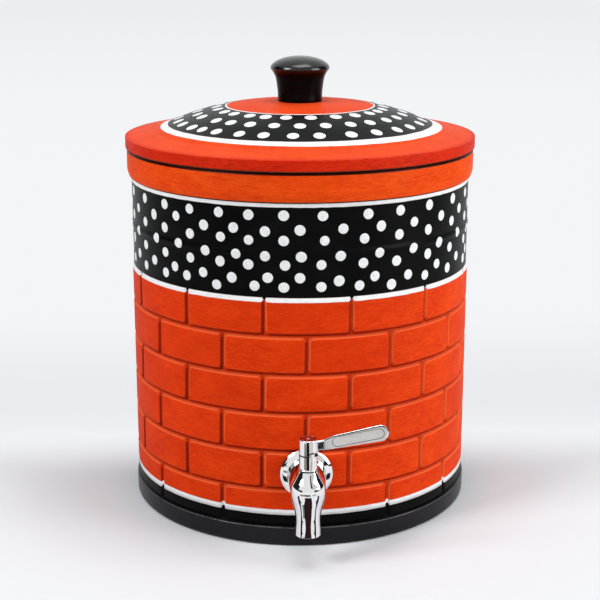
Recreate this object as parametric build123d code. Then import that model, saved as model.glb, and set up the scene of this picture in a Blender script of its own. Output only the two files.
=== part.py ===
from build123d import *
import os

# A terracotta water jar: a straight fired clay pot with bricks carved round it, a clay lid with a turned
# knob, and a chromed tap near the foot. Millimetres. Z is up, the origin is the centre of the foot on the
# surface that the jar stands on, the tap points to -Y, and its lever lies to +X when it is shut.

# The jar's body. Heights are counted up from the floor, one band after the other.
body_r = 135.0
wall_t = 12.0
floor_t = 14.0
base_h = 15.2
base_lip = 1.3
foot_rounding = 2.5
base_rounding = 1.2
inner_rounding = 18.0
course_count = 6
course_h = 29.8
bricks_per_course = 13
band_h = 69.5
band_step = 0.9
band_bevel_h = 3.2
bead_rise = 31.9
bead_half_h = 3.0
bead_h = 0.7
bead_rounding = 6.0
bead_foot_rounding = 3.0
collar_h = 22.0
collar_lip = 2.4
collar_slope_h = 4.2
collar_slope_step = 1.6
collar_low_rounding = 4.0
collar_low_foot_rounding = 0.8
collar_top_rounding = 3.6
mouth_rounding = 2.5

# The joints between the bricks, as carved.
joint_depth = 1.1
joint_half_w = 2.0
joint_bottom_half_w = 0.6

# The lid. Its heights are counted up from the jar's rim.
lid_lip = 3.3
lid_rim_h = 8.4
lid_rim_rounding = 0.9
lid_t = 9.0
ring_outer_r = 112.1
ring_outer_rise = 14.2
ring_inner_r = 104.7
ring_inner_rise = 16.8
dome_mid_r = 81.0
dome_mid_rise = 25.7
dome_top_r = 59.4
dome_top_rise = 30.5
knob_seat_rise = 33.9
flange_sag_h = 1.0
spigot_gap = 3.5
spigot_t = 8.0
spigot_h = 10.0
spigot_rounding = 2.0
spigot_root_rounding = 4.0
lid_boss_r = 20.0
lid_hole_r = 3.5

# The knob and the screw that holds it from inside the lid.
knob_foot_r = 17.5
knob_cap_r = 23.4
knob_h = 35.2
knob_flare_r_shares = [0.765, 0.812, 0.859, 0.945]
knob_flare_h_shares = [0.284, 0.511, 0.597, 0.682]
knob_edge_h_share = 0.727
knob_cap_r_shares = [0.966, 0.850, 0.624, 0.3]
knob_cap_h_shares = [0.804, 0.872, 0.940, 0.988]
screw_r = 2.5
screw_bite = 18.0
screw_tip_h = 2.5
screw_head_r = 4.8
screw_head_h = 2.8
screw_head_rounding = 1.0
washer_r = 9.5
washer_t = 1.2
soft_washer_r = 11.0
soft_washer_t = 2.0
screw_gap = 0.1

# The tap's shank and its seals through the wall. The shank is a plain cylinder at its thread's crest.
tap_h = 59.0
shank_r = 10.48
shank_bore_r = 5.5
shank_end_past_nut = 3.5
shank_end_chamfer = 1.0
wall_hole_gap = 0.9
thread_gap = 0.05
outer_gasket_r = 17.8
outer_gasket_t = 1.6
inner_gasket_r = 16.0
inner_gasket_t = 2.8
back_washer_r = 15.0
back_washer_t = 1.2
nut_flats_half_w = 13.5
nut_t = 7.0
nut_chamfer = 1.2
shank_ring_gap = 0.3

# The escutcheon, a shallow dish between the wall and the tap's barrel.
escutcheon_r = 19.7
escutcheon_edge_t = 1.0
escutcheon_bevel_r = 18.1
escutcheon_bevel_t = 2.4
escutcheon_t = 3.8
escutcheon_rounding = 0.4

# The tap's body. The barrel narrows from the escutcheon to the bulb that holds the valve.
valve_standoff = 33.75
barrel_root_r = 14.6
barrel_front_r = 12.7
barrel_rounding = 0.8
bulb_r = 13.05
outlet_drop = 33.9
bulb_top_rise = 16.3
bulb_r_shares = [0.724, 0.728, 0.701, 0.751, 0.866, 0.969, 1.0, 0.946, 0.805, 0.613]
bulb_h_shares = [0.0, 0.098, 0.237, 0.361, 0.472, 0.586, 0.681, 0.771, 0.841, 0.918]
housing_r = 6.7
housing_top_rise = 27.8
housing_lip = 0.45
housing_lip_h = 0.8
outlet_bore_r = 7.0
chamber_r = 6.55
chamber_drop = 9.5
chamber_rise = 9.0
neck_bore_r = 4.05
inlet_r = 3.3
seat_r = 4.9
seat_depth = 2.0
seat_ring_gap = 0.1

# The valve: a plug with a side port, turned a quarter turn by its stem.
running_gap = 0.05
plug_end_gap = 0.5
plug_bore_r = 3.9
plug_bore_rise = 3.4
port_r = 3.0
stem_flats_half_w = 2.9
stem_flats_h = 4.6
stem_screw_depth = 9.0
plug_ring_rise = 5.5
plug_ring_groove_r = 5.35
plug_ring_half_w = 0.95
neck_ring_rise = 21.0
neck_ring_groove_r = 3.0
neck_ring_half_w = 0.8
thrust_washer_t = 0.9

# The lever and its boss. The lug on the housing stops the boss at both ends of the quarter turn.
lever_turn = 90
boss_gap = 0.2
boss_h = 11.7
boss_rounding = 0.5
socket_gap = 0.1
boss_web_t = 1.6
cap_bore_r = 5.9
web_hole_gap = 0.2
lug_start = 7
lug_span = 33
lug_side_gap = 2
lug_h = 2.3
lug_t = 1.15
notch_gap = 0.15
lever_tilt = 10.9
lever_root_rise = 5.9
lever_reach = 58.6
paddle_half_h = 6.45
paddle_t = 4.0
paddle_rounding = 1.2
neck_start_share = 0.06
neck_v_share = 0.52
lever_u_shares = [0.239, 0.208, 0.324]
lever_v_shares = [-0.757, 0.52, 0.788]
tip_rounding_share = 0.96
ogee_rounding = 6.0
root_half_h = 3.5
root_rise = 0.75
root_fillet = 2.0
root_bite = 0.1
panel_margin = 3.3
panel_start = 17.5
panel_half_h = 3.7
panel_depth = 0.4

# The lever's own screw and the red cap pressed in over it.
lever_screw_r = 1.5
lever_screw_head_r = 2.75
lever_screw_head_h = 2.0
lever_screw_bite = 8.5
cap_gap = 0.1
cap_skirt_t = 0.9
cap_top_t = 1.5
cap_rounding = 0.7

# How far a cutting tool runs past what it cuts.
overrun = 5.0

# Heights and distances that follow from the sizes above.
full_turn = 360
front_angle = 90
bricks_top_z = base_h + course_count * course_h
collar_z = bricks_top_z + band_h
rim_z = collar_z + collar_h
base_r = body_r + base_lip
band_r = body_r - band_step
collar_r = body_r + collar_lip
inner_r = body_r - wall_t
lid_r = body_r + lid_lip
knob_seat_z = rim_z + knob_seat_rise
lid_under_z = knob_seat_z - lid_t
spigot_outer_r = inner_r - spigot_gap
spigot_inner_r = spigot_outer_r - spigot_t
brick_angle = full_turn / bricks_per_course
gasket_face = body_r + outer_gasket_t
escutcheon_face = gasket_face + escutcheon_t
inner_gasket_face = inner_r - inner_gasket_t
nut_face = inner_gasket_face - back_washer_t
shank_end = nut_face - nut_t - shank_end_past_nut
valve_reach = body_r + valve_standoff
outlet_z = tap_h - outlet_drop
bulb_top_z = tap_h + bulb_top_rise
chamber_z = tap_h - chamber_drop
chamber_top_z = tap_h + chamber_rise
housing_top_z = tap_h + housing_top_rise
boss_z = housing_top_z + boss_gap
boss_top_z = boss_z + boss_h
stem_top_z = boss_z + stem_flats_h
web_z = stem_top_z + boss_gap
cap_seat_z = web_z + boss_web_t
plug_r = chamber_r - running_gap
plug_z = chamber_z + plug_end_gap
plug_top_z = chamber_top_z - thrust_washer_t - running_gap
stem_r = neck_bore_r - running_gap

# The two frames that the tap is built in: heights along the shank are distances out from the jar's axis,
# and the valve stands upright on its own axis in front of the wall.
shank_frame = Pos(0, 0, tap_h) * Rot(90, 0, 0)
valve_frame = Pos(0, -valve_reach, 0)
lever_frame = Pos(0, -valve_reach, housing_top_z + lever_root_rise) * Rot(0, -lever_tilt, 0)


def turned(corners):
    """Turn a closed outline about Z. Each corner is a radius, a height and a rounding."""
    points = [(radius, height) for radius, height, rounding in corners]
    roundings = [rounding for radius, height, rounding in corners]
    outline = FilletPolyline(*points, radius=roundings, close=True)
    return revolve(Plane.XZ * make_face(outline), Axis.Z)


def turned_curve(outline):
    """Turn a closed outline of lines and curves about Z."""
    return revolve(Plane.XZ * make_face(outline), Axis.Z)


def rod(radius, low, high):
    """A plain round rod on Z, from one height to another."""
    return Pos(0, 0, low) * Cylinder(radius, high - low, align=(Align.CENTER, Align.CENTER, Align.MIN))


def ring(outer_r, inner_hole_r, low, high):
    """A flat ring on Z."""
    return rod(outer_r, low, high) - rod(inner_hole_r, low - overrun, high + overrun)


def ring_sector(outer_r, inner_hole_r, low, high, start, span):
    """Part of a flat ring, from an angle counted from the front towards +X."""
    section = Plane.XZ * make_face(Polyline(
        (inner_hole_r, low), (outer_r, low), (outer_r, high), (inner_hole_r, high), close=True))
    return Rot(0, 0, start - front_angle) * revolve(section, Axis.Z, span)


def seal_ring(outer_r, groove_r, height):
    """A round rubber ring that lies in a groove and reaches the outer radius."""
    section_r = (outer_r - groove_r) / 2
    return Pos(0, 0, height) * Torus(groove_r + section_r, section_r)


def save(shape, node):
    export_step(shape, "parts/" + node + ".step")


def joint_flare():
    """Half the width of a joint's cutter where it runs out past the brick face."""
    return joint_half_w + overrun * (joint_half_w - joint_bottom_half_w) / joint_depth


def level_joint(z):
    """The cutter for the joint between two courses."""
    bottom_r = body_r - joint_depth
    return Rot(0, 0, -front_angle) * turned([
        (bottom_r, z - joint_bottom_half_w, 0),
        (body_r + overrun, z - joint_flare(), 0),
        (body_r + overrun, z + joint_flare(), 0),
        (bottom_r, z + joint_bottom_half_w, 0)])


def upright_joint(angle, low, high):
    """The cutter for the joint between two bricks, at an angle from the tap."""
    bottom_y = -(body_r - joint_depth)
    front_y = -(body_r + overrun)
    section = make_face(Polyline(
        (-joint_bottom_half_w, bottom_y), (joint_bottom_half_w, bottom_y),
        (joint_flare(), front_y), (-joint_flare(), front_y), close=True))
    return Rot(0, 0, angle) * Pos(0, 0, low) * extrude(section, high - low)


def brick_joints():
    """All the joints. The tap's course has a brick's middle at the front, and the next ones a joint."""
    cutters = []
    for course in range(course_count):
        low = base_h + course * course_h
        if course > 0:
            cutters.append(level_joint(low))
        shift = 0 if course % 2 == 0 else brick_angle / 2
        for brick in range(bricks_per_course):
            cutters.append(upright_joint(shift + brick * brick_angle, low, low + course_h))
    return cutters


def make_jar_body():
    """The thrown pot: floor, wall, base ring, brick courses, beaded band, collar and mouth.

    Its outline starts at the front, where the tap's hole takes the start of each round face away.
    """
    bead_z = bricks_top_z + bead_rise
    pot = Rot(0, 0, -front_angle) * turned([
        (0, 0, 0),
        (base_r, 0, foot_rounding),
        (base_r, base_h, base_rounding),
        (body_r, base_h, 0),
        (body_r, bricks_top_z - band_bevel_h, 0),
        (band_r, bricks_top_z, 0),
        (band_r, bead_z - bead_half_h, bead_foot_rounding),
        (band_r + bead_h, bead_z, bead_rounding),
        (band_r, bead_z + bead_half_h, bead_foot_rounding),
        (band_r, collar_z, 0),
        (collar_r - collar_slope_step, collar_z, collar_low_foot_rounding),
        (collar_r, collar_z + collar_slope_h, collar_low_rounding),
        (collar_r, rim_z, collar_top_rounding),
        (inner_r, rim_z, mouth_rounding),
        (inner_r, floor_t, inner_rounding),
        (0, floor_t, 0)])
    pot -= brick_joints()
    pot -= shank_frame * rod(shank_r + wall_hole_gap, inner_r - overrun, body_r + overrun)
    return pot


def make_lid():
    """The clay lid: a flat rim, a low dome, a ring below that drops inside the mouth."""
    flange_mid_r = (lid_r + ring_outer_r) / 2
    flange_mid_z = rim_z + (lid_rim_h + ring_outer_rise) / 2 - flange_sag_h
    edge = FilletPolyline(
        (spigot_outer_r, rim_z), (lid_r, rim_z), (lid_r, rim_z + lid_rim_h), (flange_mid_r, flange_mid_z),
        radius=[lid_rim_rounding, lid_rim_rounding])
    flange = ThreePointArc(
        edge @ 1,
        ((flange_mid_r + ring_outer_r) / 2, (flange_mid_z + rim_z + ring_outer_rise) / 2 - flange_sag_h / 4),
        (ring_outer_r, rim_z + ring_outer_rise))
    ring_line = Line(flange @ 1, (ring_inner_r, rim_z + ring_inner_rise))
    dome = Spline(
        ring_line @ 1,
        (dome_mid_r, rim_z + dome_mid_rise),
        (dome_top_r, rim_z + dome_top_rise),
        (knob_foot_r, knob_seat_z))
    seat = Line(dome @ 1, (0, knob_seat_z))
    axis_line = Line(seat @ 1, (0, lid_under_z))
    boss = Line(axis_line @ 1, (lid_boss_r, lid_under_z))
    hollow = Spline(
        boss @ 1,
        (dome_top_r, rim_z + dome_top_rise - lid_t),
        (dome_mid_r, rim_z + dome_mid_rise - lid_t),
        (ring_inner_r, rim_z + ring_inner_rise - lid_t))
    spigot = FilletPolyline(
        hollow @ 1,
        (spigot_inner_r, rim_z + ring_outer_rise - lid_t - spigot_root_rounding),
        (spigot_inner_r, rim_z - spigot_h),
        (spigot_outer_r, rim_z - spigot_h),
        edge @ 0,
        radius=[spigot_root_rounding, spigot_rounding, spigot_rounding])
    lid = turned_curve(edge + flange + ring_line + dome + seat + axis_line + boss + hollow + spigot)
    return lid - rod(lid_hole_r, lid_under_z - overrun, knob_seat_z + overrun)


def make_knob():
    """The turned knob: a waisted stem that flares into a rounded cap, bored for its screw."""
    flare_points = [
        (r_share * knob_cap_r, knob_seat_z + h_share * knob_h)
        for r_share, h_share in zip(knob_flare_r_shares, knob_flare_h_shares)]
    cap_points = [
        (r_share * knob_cap_r, knob_seat_z + h_share * knob_h)
        for r_share, h_share in zip(knob_cap_r_shares, knob_cap_h_shares)]
    edge_point = (knob_cap_r, knob_seat_z + knob_edge_h_share * knob_h)
    foot = Line((0, knob_seat_z), (knob_foot_r, knob_seat_z))
    flare = Spline(foot @ 1, *flare_points)
    under_edge = Line(flare @ 1, edge_point)
    cap = Spline(edge_point, *cap_points, (0, knob_seat_z + knob_h))
    knob = turned_curve(foot + flare + under_edge + cap + Line(cap @ 1, foot @ 0))
    bore = rod(screw_r + screw_gap, knob_seat_z - overrun, knob_seat_z + screw_bite)
    return knob - bore


def make_knob_soft_washer():
    return ring(soft_washer_r, screw_r + screw_gap, lid_under_z - soft_washer_t, lid_under_z)


def make_knob_washer():
    top = lid_under_z - soft_washer_t
    return ring(washer_r, screw_r + screw_gap, top - washer_t, top)


def make_knob_screw():
    """A round-headed screw, its thread left as a plain cylinder with a point."""
    head_top = lid_under_z - soft_washer_t - washer_t
    tip = knob_seat_z + screw_bite - screw_gap
    return turned([
        (0, head_top - screw_head_h, 0),
        (screw_head_r, head_top - screw_head_h, screw_head_rounding),
        (screw_head_r, head_top, 0),
        (screw_r, head_top, 0),
        (screw_r, tip - screw_tip_h, 0),
        (0, tip, 0)])


def make_outer_gasket():
    """Rubber between the brick face and the escutcheon, hollowed to the wall's curve."""
    disc = ring(outer_gasket_r, shank_r + shank_ring_gap, inner_r, gasket_face)
    return shank_frame * disc - rod(body_r, 0, rim_z)


def make_inner_gasket():
    """Rubber inside the wall, crowned to its curve."""
    disc = ring(inner_gasket_r, shank_r + shank_ring_gap, inner_gasket_face, body_r)
    return (shank_frame * disc) & rod(inner_r, 0, rim_z)


def make_back_washer():
    return shank_frame * ring(back_washer_r, shank_r + shank_ring_gap, nut_face, inner_gasket_face)


def make_shank_nut():
    """A hexagon nut with its corners turned off."""
    low = nut_face - nut_t
    hexagon = Pos(0, 0, low) * extrude(RegularPolygon(nut_flats_half_w, 6, major_radius=False), nut_t)
    corner_r = nut_flats_half_w + nut_chamfer
    blank = turned([
        (0, low, 0), (nut_flats_half_w, low, 0), (corner_r, low + nut_chamfer, 0),
        (corner_r, nut_face - nut_chamfer, 0), (nut_flats_half_w, nut_face, 0), (0, nut_face, 0)])
    return shank_frame * ((hexagon & blank) - rod(shank_r + thread_gap, low - overrun, nut_face + overrun))


def make_escutcheon():
    """The chromed dish that hides the hole in the wall."""
    hole_r = shank_r + shank_ring_gap
    return shank_frame * turned([
        (hole_r, gasket_face, 0),
        (escutcheon_r, gasket_face, 0),
        (escutcheon_r, gasket_face + escutcheon_edge_t, escutcheon_rounding),
        (escutcheon_bevel_r, gasket_face + escutcheon_bevel_t, escutcheon_rounding),
        (barrel_root_r, escutcheon_face, 0),
        (hole_r, escutcheon_face, 0)])


def bulb():
    """The tulip-shaped bulb and spout, with the valve's housing and its stop lug standing on it."""
    bulb_h = bulb_top_z - outlet_z
    points = [
        (r_share * bulb_r, outlet_z + h_share * bulb_h)
        for r_share, h_share in zip(bulb_r_shares, bulb_h_shares)]
    bottom = Line((0, outlet_z), points[0])
    side = Spline(*points, (housing_r, bulb_top_z))
    lug_top_z = housing_top_z + lug_h
    lip_r = housing_r + housing_lip
    lip_top_z = bulb_top_z + housing_lip_h
    neck = Polyline(
        (housing_r, bulb_top_z), (lip_r, bulb_top_z), (lip_r, lip_top_z),
        (housing_r, lip_top_z + housing_lip), (housing_r, lug_top_z), (0, lug_top_z), (0, outlet_z))
    beside_lug = ring_sector(
        housing_r + overrun, housing_r - lug_t, housing_top_z, lug_top_z + overrun,
        lug_start + lug_span, full_turn - lug_span)
    return turned_curve(bottom + side + neck) - beside_lug - rod(
        housing_r - lug_t, housing_top_z, lug_top_z + overrun)


def barrel():
    """The shank through the wall and the barrel in front of it."""
    return turned([
        (0, shank_end, 0),
        (shank_r - shank_end_chamfer, shank_end, 0),
        (shank_r, shank_end + shank_end_chamfer, 0),
        (shank_r, escutcheon_face, 0),
        (barrel_root_r, escutcheon_face, barrel_rounding),
        (barrel_front_r, valve_reach, 0),
        (0, valve_reach, 0)])


def make_tap_body():
    """One casting: shank, barrel, bulb, spout and housing, bored for the valve and the water."""
    body = valve_frame * bulb() + shank_frame * barrel()
    upright_bores = (
        rod(outlet_bore_r, outlet_z - overrun, chamber_z)
        + rod(chamber_r, chamber_z, chamber_top_z)
        + rod(neck_bore_r, chamber_top_z, housing_top_z + overrun))
    seat_face = valve_reach - chamber_r - seat_depth
    shank_bore_end = valve_reach - bulb_r
    level_bores = (
        rod(shank_bore_r, shank_end - overrun, shank_bore_end)
        + rod(inlet_r, shank_bore_end, valve_reach)
        + rod(seat_r, seat_face, valve_reach))
    return body - valve_frame * upright_bores - shank_frame * level_bores


def make_seat_seal():
    """The rubber ring in the inlet's seat, hollowed to the plug."""
    seat_face = valve_reach - chamber_r - seat_depth
    blank = shank_frame * ring(seat_r - seat_ring_gap, inlet_r, seat_face, valve_reach)
    return blank - valve_frame * rod(chamber_r, chamber_z, chamber_top_z)


def make_valve_stem():
    """The plug and its stem, bored up from below to the side port, which faces -X when shut."""
    plug_ring_z = tap_h + plug_ring_rise
    neck_ring_z = tap_h + neck_ring_rise
    stem = rod(plug_r, plug_z, plug_top_z) + rod(stem_r, plug_top_z, stem_top_z)
    flats_w = 2 * stem_flats_half_w
    waste = rod(stem_r + overrun, boss_z, stem_top_z + overrun) - Pos(0, 0, boss_z) * Box(
        flats_w, flats_w, overrun + stem_flats_h + overrun,
        align=(Align.CENTER, Align.CENTER, Align.MIN))
    stem -= waste
    stem -= ring(
        plug_r + overrun, plug_ring_groove_r,
        plug_ring_z - plug_ring_half_w, plug_ring_z + plug_ring_half_w)
    stem -= ring(
        stem_r + overrun, neck_ring_groove_r,
        neck_ring_z - neck_ring_half_w, neck_ring_z + neck_ring_half_w)
    stem -= rod(plug_bore_r, plug_z - overrun, tap_h + plug_bore_rise)
    stem -= Pos(0, 0, tap_h) * Rot(0, -90, 0) * rod(port_r, 0, plug_r + overrun)
    stem -= rod(lever_screw_r + running_gap, stem_top_z - stem_screw_depth, stem_top_z + overrun)
    return valve_frame * stem


def make_plug_ring():
    return valve_frame * seal_ring(plug_r, plug_ring_groove_r, tap_h + plug_ring_rise)


def make_neck_ring():
    return valve_frame * seal_ring(stem_r, neck_ring_groove_r, tap_h + neck_ring_rise)


def make_thrust_washer():
    return valve_frame * ring(plug_r, stem_r + running_gap, plug_top_z, plug_top_z + thrust_washer_t)


def lever_plate():
    """The neck and the flat paddle, standing on edge and rising from the boss."""
    neck_start = neck_start_share * lever_reach
    neck_u, ogee_u, top_u = [share * lever_reach for share in lever_u_shares]
    low_v, ogee_v, top_v = [share * paddle_half_h for share in lever_v_shares]
    tip_rounding = tip_rounding_share * paddle_half_h
    outline = FilletPolyline(
        (neck_start, -neck_v_share * paddle_half_h),
        (neck_u, low_v),
        (lever_reach, -paddle_half_h),
        (lever_reach, paddle_half_h),
        (top_u, top_v),
        (ogee_u, ogee_v),
        (neck_start, neck_v_share * paddle_half_h),
        radius=[0, ogee_rounding, tip_rounding, tip_rounding, ogee_rounding, ogee_rounding, 0],
        close=True)
    plate = extrude(Plane.XZ * make_face(outline), paddle_t / 2, both=True)
    rims = plate.edges().filter_by(Axis.Y, reverse=True)
    return fillet(rims, paddle_rounding)


def bare_panel():
    """The shallow bare panel sunk in the paddle's front."""
    panel_end = lever_reach - panel_margin
    slot = SlotOverall(panel_end - panel_start, 2 * panel_half_h)
    at = Plane.XZ.offset(paddle_t / 2 - panel_depth) * Pos((panel_start + panel_end) / 2, 0)
    return extrude(at * slot, panel_depth + overrun)


def lever_root():
    """The upright block where the neck leaves the boss, hollowed on both sides to flow into the neck."""
    half_w = paddle_t / 2 + root_fillet - root_bite
    root_end = (housing_r**2 - half_w**2)**0.5 + root_fillet - root_bite
    section = Pos(root_end / 2, 0) * Rectangle(root_end, 2 * half_w)
    for side in (-1, 1):
        section -= Pos(root_end, side * half_w) * Circle(root_fillet)
    low = housing_top_z + lever_root_rise + root_rise - root_half_h
    return Pos(0, 0, low) * extrude(section, 2 * root_half_h)


def make_lever_handle():
    """One casting: the boss on the stem, its neck and the paddle."""
    boss = turned([
        (0, boss_z, 0), (housing_r, boss_z, 0), (housing_r, boss_top_z, boss_rounding), (0, boss_top_z, 0)])
    arm = lever_frame * (lever_plate() - bare_panel())
    handle = valve_frame * (boss + lever_root()) + arm
    socket_w = 2 * (stem_flats_half_w + socket_gap)
    socket = Pos(0, 0, boss_z - overrun) * Box(
        socket_w, socket_w, overrun + stem_flats_h + boss_gap, align=(Align.CENTER, Align.CENTER, Align.MIN))
    notch = ring_sector(
        housing_r + overrun, housing_r - lug_t - notch_gap, boss_z - overrun,
        housing_top_z + lug_h + notch_gap, lug_start - lug_side_gap,
        lug_span + lever_turn + 2 * lug_side_gap)
    bores = (
        rod(cap_bore_r, cap_seat_z, boss_top_z + overrun)
        + rod(lever_screw_r + web_hole_gap, web_z - overrun, cap_seat_z))
    return handle - valve_frame * (socket + notch + bores)


def make_lever_screw():
    """A small round-headed screw down into the stem."""
    return valve_frame * turned([
        (0, stem_top_z - lever_screw_bite, 0),
        (lever_screw_r, stem_top_z - lever_screw_bite, 0),
        (lever_screw_r, cap_seat_z, 0),
        (lever_screw_head_r, cap_seat_z, 0),
        (lever_screw_head_r, cap_seat_z + lever_screw_head_h, lever_screw_head_h / 2),
        (0, cap_seat_z + lever_screw_head_h, 0)])


def make_index_cap():
    """The cap pressed into the boss: a skirt that stands round the screw's head, and a rounded top."""
    cap_r = cap_bore_r - cap_gap
    under_z = boss_top_z - cap_top_t
    return valve_frame * turned([
        (0, under_z, 0),
        (cap_r - cap_skirt_t, under_z, 0),
        (cap_r - cap_skirt_t, cap_seat_z, 0),
        (cap_r, cap_seat_z, 0),
        (cap_r, boss_top_z, cap_rounding),
        (0, boss_top_z, 0)])


os.makedirs("parts", exist_ok=True)
save(make_jar_body(), "jar_body")
save(make_lid(), "lid")
save(make_knob(), "lid_knob")
save(make_knob_soft_washer(), "knob_rubber_washer")
save(make_knob_washer(), "knob_washer")
save(make_knob_screw(), "knob_screw")
save(make_outer_gasket(), "outer_gasket")
save(make_inner_gasket(), "inner_gasket")
save(make_back_washer(), "inner_washer")
save(make_shank_nut(), "shank_nut")
save(make_escutcheon(), "tap_escutcheon")
save(make_tap_body(), "tap_body")
save(make_seat_seal(), "seat_seal")
save(make_valve_stem(), "valve_stem")
save(make_plug_ring(), "stem_o_ring_lower")
save(make_neck_ring(), "stem_o_ring_upper")
save(make_thrust_washer(), "thrust_washer")
save(make_lever_handle(), "lever_handle")
save(make_lever_screw(), "lever_screw")
save(make_index_cap(), "index_cap")
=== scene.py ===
import math
import random
import bmesh
import bpy
from mathutils import Matrix, Vector
from mathutils.bvhtree import BVHTree


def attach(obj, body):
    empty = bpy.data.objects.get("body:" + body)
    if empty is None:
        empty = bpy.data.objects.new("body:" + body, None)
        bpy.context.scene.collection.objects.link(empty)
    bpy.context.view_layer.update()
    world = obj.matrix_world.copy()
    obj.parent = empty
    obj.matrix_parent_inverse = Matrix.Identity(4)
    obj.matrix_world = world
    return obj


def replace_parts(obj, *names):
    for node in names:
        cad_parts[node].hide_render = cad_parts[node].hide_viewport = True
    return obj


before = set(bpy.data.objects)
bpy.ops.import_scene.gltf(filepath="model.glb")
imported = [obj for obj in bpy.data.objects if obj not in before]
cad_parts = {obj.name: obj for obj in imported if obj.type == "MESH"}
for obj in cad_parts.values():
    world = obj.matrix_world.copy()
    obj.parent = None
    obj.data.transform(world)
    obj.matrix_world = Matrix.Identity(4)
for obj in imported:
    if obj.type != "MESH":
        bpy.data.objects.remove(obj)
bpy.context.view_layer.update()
mm = 0.001


# The jar: a straight pot thrown in terracotta, with six courses of bricks carved round it while the clay
# was soft. It was fired, then painted by hand outside: a black foot and band, orange bricks, white lines.

body_r = 135 * mm
brickwork_r = body_r - 3 * mm
base_h = 15.2 * mm
base_r = 136.3 * mm
inner_r = 123 * mm
floor_t = 14 * mm
floor_ring_r = 60 * mm
course_count = 6
course_h = 29.8 * mm
bricks_per_course = 13
brick_angle = math.tau / bricks_per_course
faces_along_brick = 8
faces_up_brick = 4
bricks_top_z = base_h + course_count * course_h
band_r = 134.1 * mm
bead_z = bricks_top_z + 31.9 * mm
bead_r = 134.8 * mm
collar_z = bricks_top_z + 69.5 * mm
collar_r = 137.4 * mm
rim_z = collar_z + 22 * mm
joint_r = 133.5 * mm
drift_start_z = 60 * mm
drift_end_z = 185 * mm
drift_degrees = 0.72
drift_swing_degrees = 0.3
drift_turn = math.radians(45)
tap_h = 59 * mm
wall_hole_r = 11.38 * mm
hole_window_w = 8 * mm
hole_window_h = 7 * mm
hole_window_up = 0.9 * mm
corner_segments = 4


def in_mm(corners):
    """An outline whose corners are given in millimetres, in metres."""
    return [tuple(size * mm for size in corner) for corner in corners]


def turned(corners, steps):
    """Spin an outline about Z. Each corner is a radius, a height and how far its rounding reaches."""
    shape = bmesh.new()
    points = [shape.verts.new((0, -radius, height)) for radius, height, reach in corners]
    for start, end in zip(points, points[1:] + points[:1]):
        if start.co.y or end.co.y:
            shape.edges.new((start, end))
    for point, (radius, height, reach) in zip(points, corners):
        if reach:
            bmesh.ops.bevel(
                shape, geom=[point], offset=reach, segments=corner_segments, profile=0.5,
                affect="VERTICES", material=-1)
    bmesh.ops.spin(
        shape, geom=shape.verts[:] + shape.edges[:], cent=(0, 0, 0), axis=(0, 0, 1),
        angle=math.tau, steps=steps, use_merge=True)
    weld(shape)
    return shape


def weld(shape):
    """Merge the doubled points and turn every face outwards."""
    bmesh.ops.remove_doubles(shape, verts=shape.verts[:], dist=0.002 * mm)
    bmesh.ops.recalc_face_normals(shape, faces=shape.faces[:])


def finished(shape, name, body, finish, smoothing=0, sharp_angle=None):
    """Make the shape a piece that rides on a body, in one finish."""
    mesh = bpy.data.meshes.new(name)
    shape.to_mesh(mesh)
    shape.free()
    mesh.shade_smooth()
    if sharp_angle:
        mesh.set_sharp_from_angle(angle=math.radians(sharp_angle))
    mesh.materials.append(finish.material)
    piece = bpy.data.objects.new(name, mesh)
    bpy.context.scene.collection.objects.link(piece)
    if smoothing:
        subdivision = piece.modifiers.new("smooth", "SUBSURF")
        subdivision.levels = smoothing
        subdivision.render_levels = smoothing
    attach(piece, body)
    return piece


class Shade:
    """A value in a finish. Sums written with it add the nodes that work them out."""

    def __init__(self, finish, socket):
        self.finish = finish
        self.socket = socket

    def other(self, name):
        return Shade(self.finish, self.socket.node.outputs[name])

    def __add__(self, value):
        return self.finish.maths("ADD", self, value)

    __radd__ = __add__

    def __sub__(self, value):
        return self.finish.maths("SUBTRACT", self, value)

    def __rsub__(self, value):
        return self.finish.maths("SUBTRACT", value, self)

    def __mul__(self, value):
        return self.finish.maths("MULTIPLY", self, value)

    __rmul__ = __mul__

    def __truediv__(self, value):
        return self.finish.maths("DIVIDE", self, value)

    def __pow__(self, value):
        return self.finish.maths("POWER", self, value)


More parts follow.
